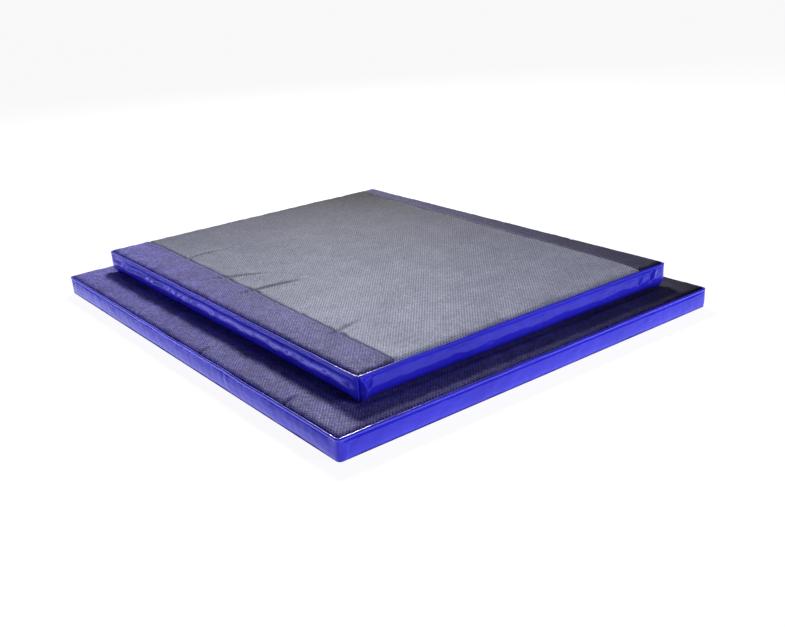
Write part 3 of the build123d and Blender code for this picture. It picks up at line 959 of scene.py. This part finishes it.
# ---- zips -----------------------------------------------------------------------------------------
def build_zip(mat):
    """Coils in place of the plain bars, and finishes for the tapes, tabs, stops, slider and pull."""
    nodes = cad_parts
    for label, sign in (("upper", 1), ("lower", -1)):
        low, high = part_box(f"{mat.name}_zip_chain_{label}")
        pitch, steps, wire = 1.9 * MM, 9, 0.38 * MM
        turns = int((high.x - low.x) / pitch)
        angle = np.arange(turns * steps) / steps * 2 * math.pi
        x = low.x + angle / (2 * math.pi) * pitch
        y_middle, half_y = (low.y + high.y) / 2, (high.y - low.y) / 2 - 0.45 * MM
        inner, outer = 1.0 * MM, 3.0 * MM
        z_middle, half_z = mat.zip_z + sign * (inner + outer) / 2, (outer - inner) / 2
        y = y_middle + half_y * np.cos(angle)
        z = z_middle + sign * half_z * np.sin(angle)
        path = np.stack([x, y, z], -1)
        ahead = np.gradient(path, axis=0)
        ahead /= np.linalg.norm(ahead, axis=1)[:, None]
        across = np.cross(ahead, [1.0, 0.0, 0.0])
        across /= np.linalg.norm(across, axis=1)[:, None]
        up = np.cross(across, ahead)
        coil = tube(f"{mat.name}_zip_coil_{label}", path, across, up, (wire, wire), COIL,
                    steps=5, closed=False)
        settle(coil, mat.body, "zip_chain", f"{mat.name}_zip_chain_{label}")
        finish_node(nodes[f"{mat.name}_zip_tape_{label}"], ZIP_TAPE)
    finish_node(nodes[f"{mat.name}_zip_end_tabs"], VINYL)
    for label in ("zip_stops", "zip_slider", "zip_pull"):
        finish_node(nodes[f"{mat.name}_{label}"], METAL)


def finish_node(node, material):
    """Gives a CAD node its finish."""
    node.data.materials.clear()
    node.data.materials.append(material)


# ---- stage ----------------------------------------------------------------------------------------
def softbox(name, place, aim, size, power, tint, glossy=True):
    """A rectangular light; with glossy off it lights surfaces but isn't mirrored in them."""
    light = bpy.data.lights.new(name, "AREA")
    light.shape = "RECTANGLE"
    light.size, light.size_y = size
    light.energy = power
    light.color = tint
    lamp = bpy.data.objects.new(name, light)
    lamp.location = place
    lamp.visible_glossy = glossy
    lamp.rotation_euler = (Vector(aim) - Vector(place)).to_track_quat("-Z", "Y").to_euler()
    bpy.context.scene.collection.objects.link(lamp)


def build_stage():
    """Floor, soft lights and the camera."""
    s = Shader("studio_floor", Specular_IOR_Level=0.1, Emission_Color=(1, 1, 1, 1), Emission_Strength=0.93)
    s.finish(s.blend(s.noise(0.8, 2), (0.15, 0.15, 0.155), (0.18, 0.18, 0.185)), 0.8)
    rings = np.array([0.0, 0.5, 1.5, 4.0, 12.0, 40.0])
    angle = np.linspace(0, 2 * math.pi, 48, endpoint=False)
    points = np.stack([rings[:, None] * np.cos(angle), rings[:, None] * np.sin(angle),
                       np.full((len(rings), len(angle)), -0.2 * MM)], -1)
    faces = grid_faces(len(rings), len(angle), False, True)[:, ::-1]
    make_object("studio_floor", points, faces, s.material)

    world = bpy.data.worlds.new("studio")
    bpy.context.scene.world = world
    world.use_nodes = True
    background = world.node_tree.nodes["Background"]
    background.inputs["Color"].default_value = (0.90, 0.93, 1.0, 1)
    background.inputs["Strength"].default_value = 0.07

    softbox("key_behind", (1.30, 2.00, 2.20), (0, 0, 0), (0.6, 0.6), 108, (1.0, 0.99, 0.98))
    softbox("glow_behind", (0.5, 3.4, 1.5), (-0.2, 0, 0.05), (2.0, 0.7), 6, (0.80, 0.80, 1.0))
    softbox("low_left", (-2.6, 2.6, 0.60), (-0.3, 0, 0.08), (1.6, 0.40), 21, (0.34, 0.32, 1.0))
    softbox("front_right", (1.6, -3.0, 0.8), (0.1, -0.3, 0.05), (1.8, 0.8), 42, (1.0, 1.0, 1.0),
            glossy=False)

    camera = bpy.data.objects.new("camera", bpy.data.cameras.new("camera"))
    turn = Matrix.Identity(4)
    for degrees, axis in ((-CAMERA_YAW, "Z"), (-CAMERA_DOWN, "X"), (-CAMERA_ROLL, "Y"), (90, "X")):
        turn = turn @ Matrix.Rotation(math.radians(degrees), 4, axis)
    camera.matrix_world = Matrix.Translation(CAMERA_PLACE) @ turn
    camera.data.lens = CAMERA_LENS
    bpy.context.scene.collection.objects.link(camera)
    bpy.context.scene.camera = camera
    bpy.context.scene.view_settings.view_transform = "Standard"


build_stage()
BASE, TOP = Mat("base", 3), Mat("top", 8)
simulate((BASE, TOP))
for each in (BASE, TOP):
    build_walls(each)
    corner_seams(each)
    build_welt(each)
    build_inside(each)
    build_floor_sheet(each)
    build_zip(each)
build_base_face(BASE)
build_top_face(TOP)
